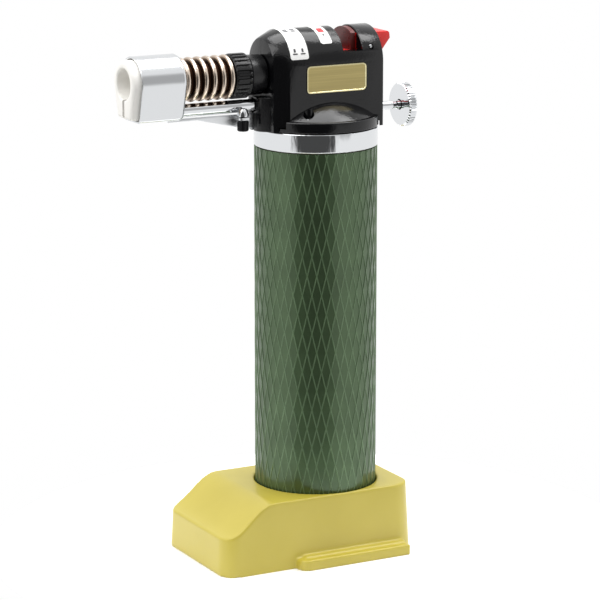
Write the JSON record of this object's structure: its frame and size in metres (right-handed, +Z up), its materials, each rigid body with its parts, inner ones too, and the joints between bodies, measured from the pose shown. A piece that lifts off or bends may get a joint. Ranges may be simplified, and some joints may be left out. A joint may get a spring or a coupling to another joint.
{
  "type": "butane micro torch",
  "caption": "Piezo butane micro torch: knurled round tank, finned burner with ceramic nozzle and thumb button, held upright in a moulded stand with foot flanges.",
  "frame": {"origin": "on the tank's axis, at the underside of the stand's socket floor, which is the surface the stand rests on", "axes": "+Z up along the tank, -X along the burner towards the nozzle's mouth, -Y towards the side of the head with the name plate"},
  "size_m": [0.0947, 0.05, 0.1601],
  "materials": {
    "olive_abs": "moulded ABS, fine satin",
    "green_knurl": "painted knurl, satin",
    "black_abs": "moulded ABS, gloss",
    "red_abs": "moulded ABS, gloss",
    "chrome": "bright chrome plate",
    "nickel": "nickel plate, turned",
    "steel": "plain steel",
    "black_steel": "black oxide",
    "brass": "turned brass",
    "brass_plate": "satin brass plate, plain",
    "ceramic": "unglazed white ceramic",
    "rubber": "matt",
    "natural_nylon": "natural nylon",
    "felt": "felt wick",
    "label": null
  },
  "bodies": {
    "stand": {"stand_base": "olive_abs"},
    "torch": {"grip_sleeve": "green_knurl", "fuel_tank": "natural_nylon", "tank_end_cap": "black_abs", "collar_ring": "chrome", "fuel_wick": "felt", "tank_seal_ring": "rubber", "refill_valve_body": "brass", "refill_valve_seal": "rubber", "refill_valve_spring": "steel", "head_base": "black_abs", "head_base_screw_1": "steel", "head_base_screw_2": "steel", "head_shell_left": "black_abs", "head_shell_right": "black_abs", "head_shell_screw_1": "steel", "head_shell_screw_2": "steel", "head_shell_screw_3": "steel", "name_plate": "brass_plate", "warning_label": "label", "position_label": "label", "button_stop_pin": "steel", "button_return_spring": "steel", "piezo_igniter": "natural_nylon", "ignition_wire": "rubber", "electrode_rod": "steel", "electrode_tube": "chrome", "gas_valve_body": "brass", "needle_seal_ring": "rubber", "lever_pin": "steel", "gas_feed_tube": "brass", "gas_jet": "brass", "burner_tube": "steel", "cooling_fins": "nickel", "flame_shroud": "chrome", "ceramic_nozzle": "ceramic", "flame_screen": "ceramic", "shroud_bracket": "chrome", "bracket_screw": "black_steel", "bracket_cone_nut": "chrome"},
    "button": {"ignition_button": "red_abs"},
    "plunger": {"piezo_plunger": "steel"},
    "lever": {"valve_lever": "steel"},
    "valve_stem": {"gas_valve_stem": "brass"},
    "gas_control": {"gas_knob": "chrome", "gas_needle": "chrome"},
    "air_control": {"air_sleeve": "black_abs"},
    "refill_valve": {"refill_valve_stem": "brass"}
  },
  "joints": [
    {"name": "torch_lift", "type": "slide", "parent": "stand", "child": "torch", "axis": [0, 0, 1], "range_m": [0, 0.025]},
    {"name": "button_push", "type": "slide", "parent": "torch", "child": "button", "axis": [-1, 0, 0], "range_m": [0, 0.0043], "stiffness_N_per_m": 1200, "springref_m": -0.001, "deforming": ["button_return_spring"]},
    {"name": "plunger_push", "type": "slide", "parent": "torch", "child": "plunger", "axis": [-1, 0, 0], "range_m": [0, 0.0043]},
    {"name": "lever_tilt", "type": "hinge", "parent": "torch", "child": "lever", "pos_m": [-0.008, 0, 0.144], "axis": [0, 1, 0], "range_deg": [0, 8.6]},
    {"name": "stem_press", "type": "slide", "parent": "torch", "child": "valve_stem", "axis": [0, 0, -1], "range_m": [0, 0.0012]},
    {"name": "gas_turn", "type": "hinge", "parent": "torch", "child": "gas_control", "pos_m": [0.03, 0, 0.1346], "axis": [1, 0, 0], "range_deg": [0, 300]},
    {"name": "air_turn", "type": "hinge", "parent": "torch", "child": "air_control", "pos_m": [-0.024, 0, 0.1471], "axis": [1, 0, 0], "range_deg": [0, 90]},
    {"name": "refill_press", "type": "slide", "parent": "torch", "child": "refill_valve", "axis": [0, 0, 1], "range_m": [0, 0.0015], "stiffness_N_per_m": 800, "springref_m": -0.001, "deforming": ["refill_valve_spring"]}
  ],
  "couplings": [
    {"joint": "plunger_push", "follows": "button_push", "ratio": 1},
    {"joint": "lever_tilt", "follows": "button_push", "rad_per_m": 34.9},
    {"joint": "stem_press", "follows": "button_push", "ratio": 0.279}
  ]
}
